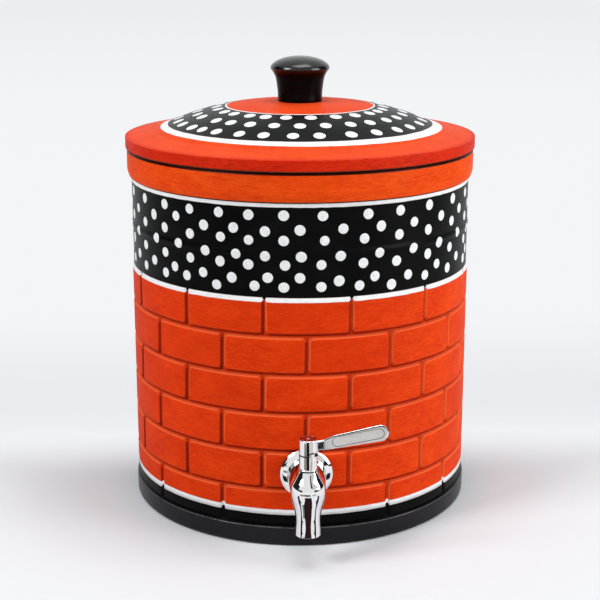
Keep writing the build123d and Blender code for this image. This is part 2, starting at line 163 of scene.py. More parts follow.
class Finish:
    """A material made of nodes, or the light of the room round the scene."""

    def __init__(self, name, kind="Material"):
        library = {"Material": bpy.data.materials, "World": bpy.data.worlds}[kind]
        self.kind = kind
        self.material = library.new(name)
        self.material.use_nodes = True
        self.tree = self.material.node_tree
        self.tree.nodes.clear()
        self.place = self.node("TexCoord", {}, {}, "Object")
        self.x = self.node("SeparateXYZ", {}, {0: self.place}, "X")
        self.y = self.x.other("Y")
        self.z = self.x.other("Z")

    def node(self, kind, settings, values, output=0):
        """Add a node, with its settings first and then the values or links of its sockets."""
        node = self.tree.nodes.new("ShaderNode" + kind)
        for setting, value in settings.items():
            setattr(node, setting, value)
        for socket, value in values.items():
            if isinstance(value, Shade):
                self.tree.links.new(value.socket, node.inputs[socket])
            else:
                node.inputs[socket].default_value = value
        return Shade(self, node.outputs[output])

    def maths(self, operation, *values):
        return self.node("Math", {"operation": operation}, dict(enumerate(values)))

    def rise(self, value, low, high):
        """0 below the low limit, 1 above the high one, and a smooth step between them."""
        return self.node(
            "MapRange", {"interpolation_type": "SMOOTHSTEP"}, {"Value": value, 1: low, 2: high})

    def blend(self, share, first, second):
        """A colour between two colours."""
        return self.node("Mix", {"data_type": "RGBA"}, {0: share, 6: first, 7: second}, 2)

    def noise(self, across, up, detail):
        """Cloudy noise whose grains have a width and a height, in an upright turned pattern."""
        stretched = self.node("CombineXYZ", {}, {0: self.x / across, 1: self.y / across, 2: self.z / up})
        return self.node(
            "TexNoise", {}, {"Vector": stretched, "Scale": 1, "Detail": detail, "Roughness": 0.6})

    def bump(self, height, depth):
        """The surface's tilt where its height varies by a share of the depth."""
        return self.node("Bump", {}, {"Height": height, "Distance": depth, "Strength": 1})

    def shaded(self, values):
        self.close(self.node("BsdfPrincipled", {}, values))

    def close(self, shader):
        output = self.tree.nodes.new("ShaderNodeOutput" + self.kind)
        self.tree.links.new(shader.socket, output.inputs["Surface"])


orange_dark = (0.58, 0.026, 0.001, 1)
orange_light = (0.88, 0.062, 0.003, 1)
orange_deep = (0.20, 0.008, 0.001, 1)
orange_highlight = (1.00, 0.155, 0.045, 1)
amber = (1.00, 0.135, 0.009, 1)
black = (0.0012, 0.0012, 0.0012, 1)
black_light = (0.0030, 0.0028, 0.0030, 1)
black_foot = (0.0050, 0.0045, 0.0060, 1)
foot_wear_and_sheen = (0.11, 0.11, 0.115, 1)
white = (0.84, 0.84, 0.84, 1)
white_thin = (0.74, 0.745, 0.75, 1)
bare_clay = (0.47, 0.175, 0.085, 1)
bare_clay_dark = (0.36, 0.12, 0.055, 1)
line_low_z = 24.9 * mm
line_low_top_z = 29.0 * mm
line_mid_z = 190.0 * mm
line_mid_top_z = bricks_top_z - 0.8 * mm
line_high_z = 259.7 * mm


def brushed_paint(finish, light, dark, painted_shade, black_share, white_share, bare_share):
    """Paint brushed on round the pot over bare clay: its colour, its brush marks, its grain and the painted
    shade laid on it.
    """
    radius = (finish.x * finish.x + finish.y * finish.y) ** 0.5
    along_brush = finish.node("CombineXYZ", {}, {
        0: finish.x / radius * 20, 1: finish.y / radius * 20, 2: (finish.z + radius * 0.7) / (1.1 * mm)})
    streaks = finish.node(
        "TexNoise", {}, {"Vector": along_brush, "Scale": 1, "Detail": 4, "Roughness": 0.62})
    clouds = finish.noise(26 * mm, 14 * mm, 2)
    grain = finish.noise(1.2 * mm, 0.9 * mm, 2)
    tone = finish.rise(streaks * 0.45 + clouds * 0.3 + grain * 0.25, 0.30, 0.76)
    flecks = finish.rise(finish.noise(2.2 * mm, 1.2 * mm, 3), 0.66, 0.74)
    colour = finish.blend(flecks * 0.3, finish.blend(tone, dark, light), dark)
    colour = finish.blend(painted_shade, colour, orange_deep)
    black_paint = finish.blend(finish.rise(clouds, 0.4, 0.8), black, black_light)
    white_paint = finish.blend(finish.rise(streaks, 0.3, 0.6), white_thin, white)
    colour = finish.blend(black_share, colour, black_paint)
    colour = finish.blend(white_share, colour, white_paint)
    clay = finish.blend(finish.rise(clouds + grain * 0.3, 0.4, 0.9), bare_clay, bare_clay_dark)
    return finish.blend(bare_share, colour, clay), streaks, grain, clouds


def drift(angle, height):
    """How far round the upright cuts have crept at a height, as the carver worked up from the foot."""
    share = min(max((height - drift_start_z) / (drift_end_z - drift_start_z), 0), 1)
    share = share * share * (3 - 2 * share)
    return math.radians(drift_degrees - drift_swing_degrees * math.sin(3 * angle + drift_turn)) * share


paint = Finish("painted_terracotta")
radius = (paint.x * paint.x + paint.y * paint.y) ** 0.5
angle = paint.maths("ARCTAN2", paint.x, 0 - paint.y)
course = paint.maths("FLOOR", (paint.z - base_h) / course_h)
shift = paint.maths("FLOORED_MODULO", course, 2) * 0.5
crept = paint.maths("SINE", angle * 3 + drift_turn) * math.radians(-drift_swing_degrees)
crept = (crept + math.radians(drift_degrees)) * paint.rise(paint.z, drift_start_z, drift_end_z)
phase = (angle - crept) / brick_angle - shift
from_joint = paint.maths("ABSOLUTE", paint.maths("FRACT", phase + 0.5) - 0.5) * (brick_angle * body_r)
at_joint = 1 - paint.rise(from_joint, 0.7 * mm, 2.0 * mm)
wander = (paint.noise(9 * mm, 9 * mm, 1) - 0.5) * (0.6 * mm)
level = paint.z + wander
above_low = paint.rise(level - at_joint * (2.2 * mm), line_low_z - 0.25 * mm, line_low_z + 0.25 * mm)
above_low_top = paint.rise(
    level - at_joint * (1.2 * mm), line_low_top_z - 0.25 * mm, line_low_top_z + 0.25 * mm)
from_line_middle = paint.maths("ABSOLUTE", paint.z - line_mid_z - 1.7 * mm)
line_end = paint.rise(from_joint - from_line_middle * 0.6, 0.5 * mm, 0.9 * mm)
above_mid = paint.rise(level, line_mid_z - 0.2 * mm, line_mid_z + 0.25 * mm)
above_mid_notch = paint.rise(paint.z - from_joint * 0.7, line_mid_z + 1.0 * mm, line_mid_z + 1.5 * mm)
above_bricks = paint.rise(paint.z, line_mid_top_z - 0.2 * mm, line_mid_top_z + 0.15 * mm)
above_band = paint.rise(level, line_high_z - 0.2 * mm, line_high_z + 0.2 * mm)
# The band ends in a thin black line under the collar: a painted shadow of the collar's lip.
shadow_under_collar = paint.rise(paint.z, collar_z - 1.25 * mm, collar_z - 0.9 * mm)
above_line = paint.rise(paint.z, collar_z - 0.2 * mm, collar_z + 0.1 * mm)
# The low white line's lower part is painted a little greyer.
low_line_tone = 1 - (1 - paint.rise(level, line_low_z + 1.4 * mm, line_low_z + 2 * mm)) * 0.28
white_share = (above_low - above_low_top) * low_line_tone
white_share = paint.maths("MAXIMUM", white_share, (above_mid - above_bricks) * line_end)
white_share = paint.maths("MAXIMUM", white_share, above_band - shadow_under_collar)
in_band = paint.maths("MAXIMUM", above_mid_notch, above_bricks) - above_line
# The collar's top edge and the rim under the lid are painted nearly black: a painted shadow of the lid.
lid_shadow = paint.rise(paint.z, rim_z - 2.9 * mm, rim_z - 2.2 * mm)
black_share = paint.maths("MAXIMUM", 1 - above_low_top, in_band)
black_share = paint.maths("MAXIMUM", black_share, lid_shadow * 0.97)
inside = 1 - paint.rise(radius, body_r - 9 * mm, body_r - 7 * mm)
under = 1 - paint.rise(paint.z, 0.3 * mm, 0.6 * mm)
bare_share = paint.maths("MAXIMUM", inside, under)
# In the brick cuts, painted shade darkens the joint floors, the walls that face down and those that face
# right. A painted highlight lightens the walls that face up and those that face left.
in_cut = (1 - paint.rise(radius, 134.7 * mm, 135.1 * mm)) * (1 - above_bricks)
normal = paint.node("NewGeometry", {}, {}, "Normal")
normal_x = paint.node("SeparateXYZ", {}, {0: normal}, "X")
leans_right = normal_x * paint.maths("COSINE", angle) + normal_x.other("Y") * paint.maths("SINE", angle)
leans_up = normal_x.other("Z") * 1.2 - leans_right
in_groove = 1 - paint.rise(radius, 133.8 * mm, 134.5 * mm)
painted_shade = paint.maths("MAXIMUM", in_groove * 0.35, paint.rise(0 - leans_up, 0.1, 0.5) * 0.85) * in_cut
painted_highlight = paint.rise(leans_up, 0.2, 0.65) * in_cut * 0.65
brick_key = paint.node("CombineXYZ", {}, {
    0: paint.maths("FLOORED_MODULO", paint.maths("FLOOR", phase), bricks_per_course), 1: course})
brick_tint = paint.node("TexWhiteNoise", {"noise_dimensions": "2D"}, {"Vector": brick_key}, "Value")
# The right side is painted lighter and more amber: painted light from the stronger lamp on that side.
lit_side = paint.rise(paint.x, 30 * mm, 110 * mm)
lit_side_amber = 0.28
collar_streaks = 0.28
amber_share = paint.maths("MAXIMUM", above_line * (0.75 + lit_side * 0.25), lit_side * lit_side_amber)
light = paint.blend(amber_share, orange_light, amber)
light = paint.blend(brick_tint * 0.25, light, orange_dark)
light = paint.blend(painted_highlight, light, orange_highlight)
dark = paint.blend(
    paint.maths("MAXIMUM", painted_highlight, above_line * collar_streaks), orange_dark,
    paint.blend(above_line, orange_highlight, orange_light))
colour, streaks, grain, clouds = brushed_paint(paint, light, dark, painted_shade, black_share, white_share, bare_share)
strokes = paint.node("TexNoise", {}, {"Scale": 1, "Detail": 3, "Vector": paint.node("CombineXYZ", {}, {
    0: paint.x / radius * 7, 1: paint.y / radius * 7, 2: paint.z / (1.5 * mm)})})
in_strokes = paint.rise(strokes, 0.50, 0.66) * above_line * (1 - black_share) * collar_streaks
colour = paint.blend(in_strokes, colour, orange_dark)
in_foot = (1 - paint.rise(paint.z, base_h - 0.5 * mm, base_h + 0.5 * mm)) * (1 - bare_share)
# Along the foot's ledge a grey painted highlight lightens the black, broken into flecks like worn paint.
ledge_wear_and_sheen = paint.rise(paint.z, base_h - 1.0 * mm, base_h - 0.5 * mm) * paint.rise(
    radius, base_r - 1.0 * mm, base_r - 0.6 * mm) * paint.rise(grain + clouds * 0.6, 0.62, 0.86)
colour = paint.blend(in_foot, colour, paint.blend(ledge_wear_and_sheen * 0.8, black_foot, foot_wear_and_sheen))
gloss = black_share * (1 - bare_share)
paint.shaded({
    "Base Color": colour,
    "Roughness": 0.55 - gloss * 0.2 + (streaks - 0.5) * 0.2 + bare_share * 0.3,
    "Specular IOR Level": 0.05,
    "Coat Weight": in_foot * 0.35,
    "Coat Roughness": 0.3,
    "Normal": paint.bump(streaks * (1 - gloss * 0.6) + grain * 0.6, 0.14 * mm),
})

brick_rows = [
    (joint_r, base_h + row * course_h / faces_up_brick, 0)
    for row in range(1, course_count * faces_up_brick)]
inner_rows = [(inner_r, base_h + row * course_h / faces_up_brick, 0) for row in (9, 8, 7, 6, 5, 4, 3)]
pot = turned([
    (0, 0, 0), (floor_ring_r, 0, 0), (base_r, 0, 2.5 * mm), (base_r, base_h, 1.2 * mm), (joint_r, base_h, 0)]
    + brick_rows + [
    (band_r, bricks_top_z, 0),
    (band_r, bead_z - 5 * mm, 0), (band_r, bead_z - 3 * mm, 0.8 * mm), (bead_r, bead_z, 1.2 * mm),
    (band_r, bead_z + 3 * mm, 0.8 * mm), (band_r, bead_z + 5 * mm, 0), (band_r, collar_z - 1.5 * mm, 0),
    (band_r, collar_z, 0.2 * mm), (collar_r - 1.6 * mm, collar_z, 0.4 * mm),
    (collar_r, collar_z + 4.2 * mm, 2 * mm), (collar_r, rim_z, 3.4 * mm), (inner_r, rim_z, 2.5 * mm),
    (inner_r, 200 * mm, 0)] + inner_rows + [
        (inner_r, floor_t, 17 * mm), (floor_ring_r, floor_t, 0), (0, floor_t, 0)],
    bricks_per_course * faces_along_brick)


def brick_of(face):
    """Which course and which brick a face of the brickwork lies in, or nothing."""
    middle = face.calc_center_median()
    if middle.xy.length < brickwork_r or not base_h < middle.z < bricks_top_z:
        return None
    course = int((middle.z - base_h) / course_h)
    turn = math.atan2(middle.x, -middle.y) / brick_angle - (course % 2) / 2
    return course, math.floor(turn) % bricks_per_course


brick_faces = [face for face in pot.faces if brick_of(face)]
joint_edges = [
    edge for edge in pot.edges
    if len(edge.link_faces) == 2 and brick_of(edge.link_faces[0]) != brick_of(edge.link_faces[1])]
bmesh.ops.split_edges(pot, edges=joint_edges)

# How far in and how far out, in mm: half the joint's flat floor, the brick's shoulder and its eased edge.
brick_steps = ((0.65, 0), (1.35, 1.45), (0.7, 0.15))
for width, depth in brick_steps:
    bmesh.ops.inset_region(
        pot, faces=brick_faces, use_boundary=True, use_even_offset=True,
        thickness=width * mm, depth=depth * mm)
weld(pot)

# The top course leans back to the band, the lowest one stands straight up from the foot's ledge, each
# brick keeps crisp corners, and the upright cuts creep round as they climb.
corner_reach = 3.5 * mm
corner_crispness = 0.6
crispness = pot.verts.layers.float.new("crease_vert")
for vert in pot.verts:
    drop = bricks_top_z - vert.co.z
    lift = vert.co.z - base_h
    level = lift / course_h
    turn = math.atan2(vert.co.x, -vert.co.y)
    turns = turn / brick_angle - (math.floor(level) % 2) / 2
    from_upright = abs(turns - round(turns)) * brick_angle * body_r
    from_level = abs(level - round(level)) * course_h
    if vert.co.xy.length > brickwork_r:
        if from_upright < corner_reach and from_level < corner_reach:
            vert[crispness] = corner_crispness
        if 0 < drop < 3 * mm:
            vert.co.z = bricks_top_z - 1.45 * drop
        if -0.1 * mm < lift < 1 * mm and vert.co.xy.length < body_r and from_upright > 1 * mm:
            vert.co.xy = vert.co.xy.normalized() * body_r
    vert.co = Matrix.Rotation(drift(turn, vert.co.z), 3, "Z") @ vert.co

# The hole for the tap's shank: two windows of faces drawn to a circle, joined through the wall.
hole_faces = [
    face for face in pot.faces
    if face.calc_center_median().y < -inner_r * 0.9
    and abs(face.calc_center_median().x) < hole_window_w
    and abs(face.calc_center_median().z - tap_h - hole_window_up) < hole_window_h]
hole_rims = [
    edge for edge in pot.edges
    if sum(face in hole_faces for face in edge.link_faces) == 1]
for vert in {vert for edge in hole_rims for vert in edge.verts}:
    out = Vector((vert.co.x, vert.co.z - tap_h)).normalized() * wall_hole_r
    vert.co.x = out.x
    vert.co.z = tap_h + out.y
bmesh.ops.delete(pot, geom=hole_faces, context="FACES")
hole_rims = [edge for edge in pot.edges if edge.is_boundary]
bmesh.ops.bridge_loops(pot, edges=hole_rims)
weld(pot)
jar = finished(pot, "painted_jar", "jar", paint, smoothing=1)
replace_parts(jar, "jar_body")


# The dots on the band: white enamel touched on with a round brush, seven staggered rows of about thirty.
# Each is a thin raised disc with a low rim, where the paint stood up round the brush.

dot_sides = 16
dot_foot = 0.3 * mm
dot_rise = 0.10 * mm
dot_pitch = 12.6
photo_turn = 2
random.seed(7)
enamel = Finish("white_enamel")
enamel_tone = enamel.rise(enamel.noise(1.6 * mm, 1.6 * mm, 2), 0.3, 0.75)
enamel.shaded({
    "Base Color": enamel.blend(enamel_tone, (0.74, 0.74, 0.74, 1), (0.90, 0.90, 0.90, 1)),
    "Roughness": 0.38 + enamel_tone * 0.1,
    "Normal": enamel.bump(enamel_tone, 0.08 * mm),
})


def full_row(front_angles, pitch):
    """Angles given from the camera's side, left to right, and about evenly spaced ones behind."""
    gap = front_angles[0] + 360 - front_angles[-1]
    count = round(gap / pitch)
    rest = [front_angles[-1] + gap * step / count + random.uniform(-0.7, 0.7) for step in range(1, count)]
    return [angle - photo_turn for angle in front_angles + rest]


def surface_of(piece):
    """The piece's finished surface, to lay things on."""
    return BVHTree.FromObject(piece, bpy.context.evaluated_depsgraph_get())


def add_dot(shape, surface, place, radius):
    """A low dome laid on a surface: a short cone that starts inside it, then three steps inwards."""
    depth = dot_foot + dot_rise
    made = bmesh.ops.create_cone(
        shape, cap_ends=True, segments=dot_sides, radius1=radius, radius2=radius * 0.98, depth=depth,
        matrix=Matrix.Translation((0, 0, depth / 2 - dot_foot)))
    faces = {face for vert in made["verts"] for face in vert.link_faces}
    top = max(faces, key=lambda face: face.calc_center_median().z)
    for width, rise in ((0.3, 0.10), (1.4, -0.02), (1.4, -0.01)):
        ring = bmesh.ops.inset_region(shape, faces=[top], thickness=width * mm, depth=rise * mm)
        faces.update(ring["faces"])
    verts = {vert for face in faces for vert in face.verts}
    squash = Matrix.Diagonal((random.uniform(0.95, 1.03), random.uniform(0.95, 1.03), 1))
    turn = Matrix.Rotation(random.uniform(0, math.tau), 3, "Z")
    outward = place.to_3x3() @ Vector((0, 0, 1))
    for vert in verts:
        height = vert.co.z
        flat = turn @ squash @ Vector((vert.co.x, vert.co.y, 0))
        start = place @ (flat + Vector((0, 0, 20 * mm)))
        vert.co = surface.ray_cast(start, -outward)[0] + outward * height


jar_surface = surface_of(jar)
band_dots = bmesh.new()
band_rows = (
    (253.8, [-75, -61.5, -48.6, -37, -26, -16, -5, 7, 21.5, 33, 45.5, 59.5, 72.5], {}),
    (243.4, [-68, -55, -43, -31.5, -21, -10.8, 0, 13.4, 26, 38.7, 52, 65.3], {2: 3.2, 5: -1.4, 11: 0.9}),
    (235.6, [-75, -61.5, -48.8, -37, -25.4, -16, -5, 7.6, 20.3, 32.7, 45.2, 59, 72.5], {11: 1.4}),
    (224.1, [-68, -53.6, -42, -31, -20.2, -10.8, 0.4, 12.6, 25.5, 38.5, 51, 64],
     {0: 1.4, 1: 2, 2: 2.4, 11: 2}),
    (217.4, [-75, -61.5, -48.7, -37, -25.7, -16.2, -4.6, 6.6, 20, 31.8, 45.2, 58, 72], {9: -1}),
    (207.9, [-68, -55.3, -44, -32, -21.7, -10, 0, 12.2, 24, 36.5, 50, 63.6],
     {4: -1.4, 7: -2.4, 8: -1, 9: -3.3}),
    (201.2, [-75, -61.6, -48.7, -38.6, -27, -14.2, -5, 6.6, 18.8, 30, 44, 56.8, 72], {3: 2, 4: -1.3, 9: -2}))
for height, front, lifts in band_rows:
    for place_in_row, turn in enumerate(full_row(front, dot_pitch)):
        lift = lifts.get(place_in_row, random.uniform(-0.4, 0.4))
        place = (
            Matrix.Rotation(math.radians(turn), 4, "Z")
            @ Matrix.Translation((0, -band_r, (height + lift) * mm))
            @ Matrix.Rotation(math.radians(90), 4, "X"))
        add_dot(band_dots, jar_surface, place, random.uniform(3.75, 4.1) * mm)
bmesh.ops.recalc_face_normals(band_dots, faces=band_dots.faces[:])
finished(band_dots, "band_dots", "jar", enamel, sharp_angle=50)


# The lid: thrown in the same clay, a flat rim, a white ring, a low black dome and an orange top. A ring
# below drops inside the jar's mouth. Painted outside, bare below, drilled through the middle for the knob.

lid_r = 138.3 * mm
ring_outer_r = 112.1 * mm
ring_outer_off = 1 * mm
ring_inner_r = 104.7 * mm
dome_top_r = 59.4 * mm
spigot_inner_r = 111.5 * mm
spigot_outer_r = 119.5 * mm
spigot_h = 10 * mm
knob_seat_z = rim_z + 33.9 * mm
lid_under_z = knob_seat_z - 9 * mm
wall_middle_z = 294 * mm
wall_middle_top_z = 314.5 * mm
wall_slope = 0.338

lid_paint = Finish("painted_lid")
lid_radius = (lid_paint.x * lid_paint.x + lid_paint.y * lid_paint.y) ** 0.5
lid_wander = (lid_paint.noise(11 * mm, 11 * mm, 1) - 0.5) * (0.8 * mm)
out_to = lid_radius + lid_wander
to_right = lid_paint.x - ring_outer_off
out_to_ring = (to_right * to_right + lid_paint.y * lid_paint.y) ** 0.5 + lid_wander
in_ring = lid_paint.rise(out_to, ring_inner_r - 0.2 * mm, ring_inner_r + 0.2 * mm) - lid_paint.rise(
    out_to_ring, ring_outer_r - 0.9 * mm, ring_outer_r - 0.5 * mm)
in_thin_ring = lid_paint.rise(
    out_to, dome_top_r - 1.6 * mm, dome_top_r - 1.3 * mm) - lid_paint.rise(
    out_to, dome_top_r - 0.2 * mm, dome_top_r + 0.2 * mm)
in_dome = lid_paint.rise(out_to, dome_top_r - 0.2 * mm, dome_top_r + 0.2 * mm) - lid_paint.rise(
    out_to, ring_inner_r - 0.2 * mm, ring_inner_r + 0.2 * mm)
lid_normal = lid_paint.node("NewGeometry", {}, {}, "True Normal")
faces_down = 1 - lid_paint.rise(lid_paint.node("SeparateXYZ", {}, {0: lid_normal}, "Z"), -0.7, -0.3)
in_spigot = 1 - lid_paint.rise(lid_radius, 120 * mm, 121 * mm)
lid_middle = lid_paint.maths(
    "MINIMUM", (spigot_inner_r - lid_radius) * wall_slope + wall_middle_z, wall_middle_top_z)
under_lid = in_spigot * (1 - lid_paint.rise(lid_paint.z - lid_middle, -1 * mm, 1 * mm))
lid_bare = lid_paint.maths("MAXIMUM", faces_down, under_lid)
# The lid's lowest edge, where it sits on the jar, is painted dark: a painted shadow of the gap.
lid_seam_shadow = 1 - lid_paint.rise(lid_paint.z, rim_z + 0.3 * mm, rim_z + 0.9 * mm)
# The top is painted lighter and more orange than the side: painted light from the lamp above.
lit_top = lid_paint.rise(lid_paint.z, rim_z + 8 * mm, rim_z + 9.5 * mm)
lid_red = lid_paint.blend(lit_top, (0.52, 0.012, 0.001, 1), (0.64, 0.042, 0.004, 1))
lid_red_light = lid_paint.blend(lit_top, (0.74, 0.030, 0.002, 1), (0.88, 0.088, 0.016, 1))
lid_colour, lid_streaks, lid_grain, _ = brushed_paint(
    lid_paint, lid_red_light, lid_red, lid_seam_shadow * 0.8, lid_paint.maths("MAXIMUM", in_dome, lid_seam_shadow * 0.9),
    lid_paint.maths("MAXIMUM", in_ring, in_thin_ring), lid_bare)
lid_gloss = in_dome * (1 - lid_bare)
lid_side = lid_paint.rise(lid_radius, 135.5 * mm, 137 * mm) * (1 - lid_bare)
lid_pits = lid_paint.rise(lid_paint.noise(5 * mm, 0.9 * mm, 3), 0.56, 0.70) * lid_side
lid_colour = lid_paint.blend(lid_pits * 0.55, lid_colour, orange_deep)
lid_paint.shaded({
    "Base Color": lid_colour,
    "Roughness": 0.52 - lid_gloss * 0.2 + (lid_streaks - 0.5) * 0.2 + lid_bare * 0.33,
    "Specular IOR Level": 0.07,
    "Normal": lid_paint.bump(lid_streaks * (1 - lid_gloss * 0.6) + lid_grain * 0.6 - lid_pits * 2, 0.14 * mm),
})

lid_shape = turned([
    (3.5 * mm, lid_under_z, 0), (20 * mm, lid_under_z, 1 * mm), (dome_top_r, 307.0 * mm, 8 * mm),
    (81 * mm, 302.2 * mm, 10 * mm), (ring_inner_r, 293.3 * mm, 3 * mm),
    (spigot_inner_r, 288 * mm, 3 * mm), (spigot_inner_r, rim_z - spigot_h, 2 * mm),
    (spigot_outer_r, rim_z - spigot_h, 2 * mm), (spigot_outer_r, rim_z, 0.5 * mm),
    (lid_r, rim_z, 0.5 * mm), (lid_r, rim_z + 8.4 * mm, 0.35 * mm), (125.2 * mm, rim_z + 10.5 * mm, 4 * mm),
    (119 * mm, rim_z + 12.0 * mm, 1.5 * mm), (115 * mm, rim_z + 12.4 * mm, 1.5 * mm),
    (ring_outer_r, rim_z + 14.2 * mm, 0.3 * mm), (ring_inner_r, rim_z + 16.8 * mm, 0.6 * mm),
    (81 * mm, rim_z + 25.7 * mm, 10 * mm), (dome_top_r, rim_z + 30.7 * mm, 8 * mm),
    (40 * mm, rim_z + 32.6 * mm, 6 * mm), (17.5 * mm, knob_seat_z, 1 * mm), (3.5 * mm, knob_seat_z, 0)],
    128)
lid = finished(lid_shape, "painted_lid", "lid", lid_paint, smoothing=1, sharp_angle=60)
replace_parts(lid, "lid")


# The dots on the dome: the same enamel, three rings, a little larger than those of the band.

dome_dots = bmesh.new()
dome_rows = (
    (66, 14.4, [-61.5, -49.5, -35, -23, -9, 7, 24, 39, 53.5, 65, 77]),
    (81.5, 13.2, [-79, -68, -51, -39.5, -27, -13.5, 0, 13.5, 27.5, 40, 53.5, 65.5, 79]),
    (96.5, 12.2, [-80, -69.5, -58, -49.5, -40, -27.5, -16, -3, 8.5, 23, 36, 49, 60, 73, 85]))
lid_surface = surface_of(lid)
for row_r, pitch, front in dome_rows:
    for turn in full_row(front, pitch):
        out = Matrix.Rotation(math.radians(turn), 3, "Z") @ Vector((0, -row_r * mm, 0))
        point, normal = lid_surface.ray_cast(Vector((out.x, out.y, 1)), Vector((0, 0, -1)))[:2]
        lean = normal.to_track_quat("Z", "Y").to_matrix().to_4x4()
        add_dot(dome_dots, lid_surface, Matrix.Translation(point) @ lean, random.uniform(4.5, 4.85) * mm)
bmesh.ops.recalc_face_normals(dome_dots, faces=dome_dots.faces[:])
finished(dome_dots, "dome_dots", "lid", enamel, sharp_angle=50)


# The knob: turned in hardwood on a lathe, waisted below a rounded cap, and lacquered black.

knob_bore_h = 18 * mm
lacquer = Finish("black_lacquer")
rings = lacquer.noise(40 * mm, 0.7 * mm, 2)
specks = lacquer.rise(lacquer.noise(1.3 * mm, 1.3 * mm, 2), 0.68, 0.74)
lacquer.shaded({
    "Base Color": lacquer.blend(specks * 0.25, (0.0014, 0.0010, 0.0010, 1), (0.08, 0.075, 0.07, 1)),
    "Roughness": 0.22 + rings * 0.16 + specks * 0.3,
    "Specular IOR Level": 0.05,
    "Coat Weight": lacquer.rise(lacquer.z, 341 * mm, 346 * mm) * (0.85 - specks * 0.4),
    "Coat Roughness": 0.2,
    "Normal": lacquer.bump(rings + specks, 0.05 * mm),
})
knob_corners = [
    (2.6, 18.0, 0), (2.6, 0, 0), (17.2, 0, 0.3), (17.5, 1.2, 0.5), (17.5, 6.0, 2), (17.9, 10, 2),
    (19.0, 18, 2), (20.1, 21.0, 1), (22.1, 24.0, 1), (23.2, 25.2, 0.3), (23.4, 26.0, 0.3),
    (23.0, 27.6, 0.8), (21.6, 29.4, 1), (18.0, 31.8, 1.5), (13.0, 33.7, 2), (7.0, 34.9, 2), (0, 35.2, 0)]
knob = turned(
    [(0, knob_seat_z + knob_bore_h, 0)] + [
        (across, knob_seat_z + up, reach) for across, up, reach in in_mm(knob_corners)], 64)
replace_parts(finished(knob, "turned_knob", "lid", lacquer, smoothing=1), "lid_knob")


# The tap: cast in brass, polished and chromed: the body with its tulip-shaped spout, the dish against
# the wall and the lever. The chrome is bright, with faint smears and the slight waves of a polished casting.

valve_reach = 168.75 * mm
turning_gap_z = 86.9 * mm
lip_z = 75.2 * mm
lever_z = 92.7 * mm
lever_tilt = math.radians(10.9)
lug_start = 7
lug_end = 40
lug_rise = 2.45 * mm
panel_middle = 36.4 * mm
panel_half_l = 15.2 * mm
panel_end_r = 3.7 * mm
chrome = Finish("bright_chrome")
smears = chrome.rise(chrome.noise(7 * mm, 4 * mm, 3), 0.45, 0.75)
behind_valve = chrome.y + valve_reach
from_valve = (chrome.x * chrome.x + behind_valve * behind_valve) ** 0.5
chrome_normal = chrome.node("NewGeometry", {}, {}, "Normal")
faces_up = chrome.node("SeparateXYZ", {}, {0: chrome_normal}, "Z")
faces_front = chrome.rise(0 - faces_up.other("Y"), 0.93, 0.98)
on_paddle = chrome.rise(from_valve, 10 * mm, 13 * mm) * chrome.rise(chrome.z, 85 * mm, 88 * mm)
satin = on_paddle * faces_front
# The turning gap and the lip are drawn as black, rougher lines: painted shade in the seams.
off_housing = chrome.rise(from_valve, 8.5 * mm, 9.5 * mm)
round_valve = chrome.maths("ARCTAN2", chrome.x, 0 - chrome.y - valve_reach)
over_lug = chrome.rise(round_valve, math.radians(lug_start - 1), math.radians(lug_start + 1)) - chrome.rise(
    round_valve, math.radians(lug_end - 1), math.radians(lug_end + 1))
gap_z = over_lug * lug_rise + turning_gap_z
from_gap = chrome.maths("ABSOLUTE", chrome.z - gap_z) + off_housing
from_lip = chrome.maths("ABSOLUTE", chrome.z - lip_z) + off_housing
painted_line_shade = 1 - chrome.rise(chrome.maths("MINIMUM", from_gap, from_lip), 0.4 * mm, 0.7 * mm)

# The bare panel sunk in the lever's front is a slot with round ends. A dark line painted along its edge is
# painted shade of its shallow wall.
above_lever = chrome.z - lever_z
along_lever = chrome.x * math.cos(lever_tilt) + above_lever * math.sin(lever_tilt) - panel_middle
across_lever = above_lever * math.cos(lever_tilt) - chrome.x * math.sin(lever_tilt)
past_end = chrome.maths("MAXIMUM", chrome.maths("ABSOLUTE", along_lever) - panel_half_l, 0)
from_panel = (past_end * past_end + across_lever * across_lever) ** 0.5 - panel_end_r
from_panel = chrome.maths("ABSOLUTE", from_panel)
in_front = 1 - chrome.rise(behind_valve, -1.5 * mm, -1.3 * mm)
panel_edge_shade = (1 - chrome.rise(from_panel, 0.1 * mm, 0.5 * mm)) * satin * in_front * 0.7
painted_line_shade = chrome.maths("MAXIMUM", painted_line_shade, panel_edge_shade)

# Behind the bulb the barrel is painted darker: a painted reflection of the wall there, which lies in the
# tap's shadow.
past_bulb = chrome.rise(from_valve, 13.4 * mm, 14.2 * mm)
before_dish = 1 - chrome.rise(behind_valve, 26 * mm, 28 * mm)
under_lever = 1 - chrome.rise(chrome.z, 78 * mm, 80 * mm)
barrel_shade = past_bulb * before_dish * under_lever
bright = chrome.blend(smears, (0.88, 0.88, 0.885, 1), (0.80, 0.80, 0.81, 1))
bright = chrome.blend(barrel_shade, bright, (0.30, 0.28, 0.32, 1))

# The roll of the paddle's upper edge is painted darker in its lower half: a painted reflection of the dark
# room.
edge_reflection = chrome.rise(faces_up, 0.10, 0.22) - chrome.rise(faces_up, 0.62, 0.78)
bright = chrome.blend(edge_reflection * on_paddle * 0.9, bright, (0.03, 0.03, 0.03, 1))
chrome.shaded({
    "Base Color": chrome.blend(painted_line_shade, bright, black),
    "Metallic": 1,
    "Roughness": 0.035 + smears * 0.05 + satin * 0.2 + painted_line_shade * 0.5,
    "Normal": chrome.bump(chrome.noise(5 * mm, 5 * mm, 1) * (1 - satin), 0.03 * mm),
})


def dress(finish, *names):
    """Give CAD nodes a finish in place of their plain one."""
    for name in names:
        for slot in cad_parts[name].material_slots:
            slot.material = finish.material


